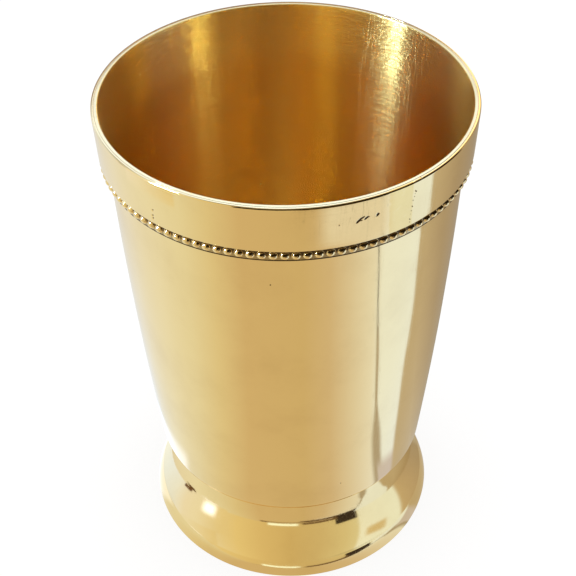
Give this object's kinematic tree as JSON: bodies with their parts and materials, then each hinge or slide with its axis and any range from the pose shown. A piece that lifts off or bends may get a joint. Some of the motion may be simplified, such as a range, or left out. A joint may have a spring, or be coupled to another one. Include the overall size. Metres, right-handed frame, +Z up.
{
  "type": "julep cup",
  "caption": "Polished brass julep cup: a flared spun bowl on a hollow trumpet foot, with a plain strap and a beaded wire brazed round the lip.",
  "frame": {"origin": "centre of the ring that the foot rests on, at table level", "axes": "+Z up along the cup's axis; -Y towards the front of the pictured view; +X to its right"},
  "size_m": [0.0776, 0.0776, 0.114],
  "materials": {
    "bowl_brass": "polished, with fine lathe lines and wiping scratches",
    "strap_brass": "polished, with a few casting pits",
    "bead_brass": "polished, dark in the gaps between the beads",
    "foot_brass": "polished outside, duller underneath",
    "braze": "paler filler brass, dressed smooth"
  },
  "bodies": {
    "root": {"bowl": "bowl_brass", "rim_strap": "strap_brass", "beaded_wire": "bead_brass", "foot": "foot_brass", "rim_braze": "braze", "foot_braze": "braze"}
  },
  "joints": []
}
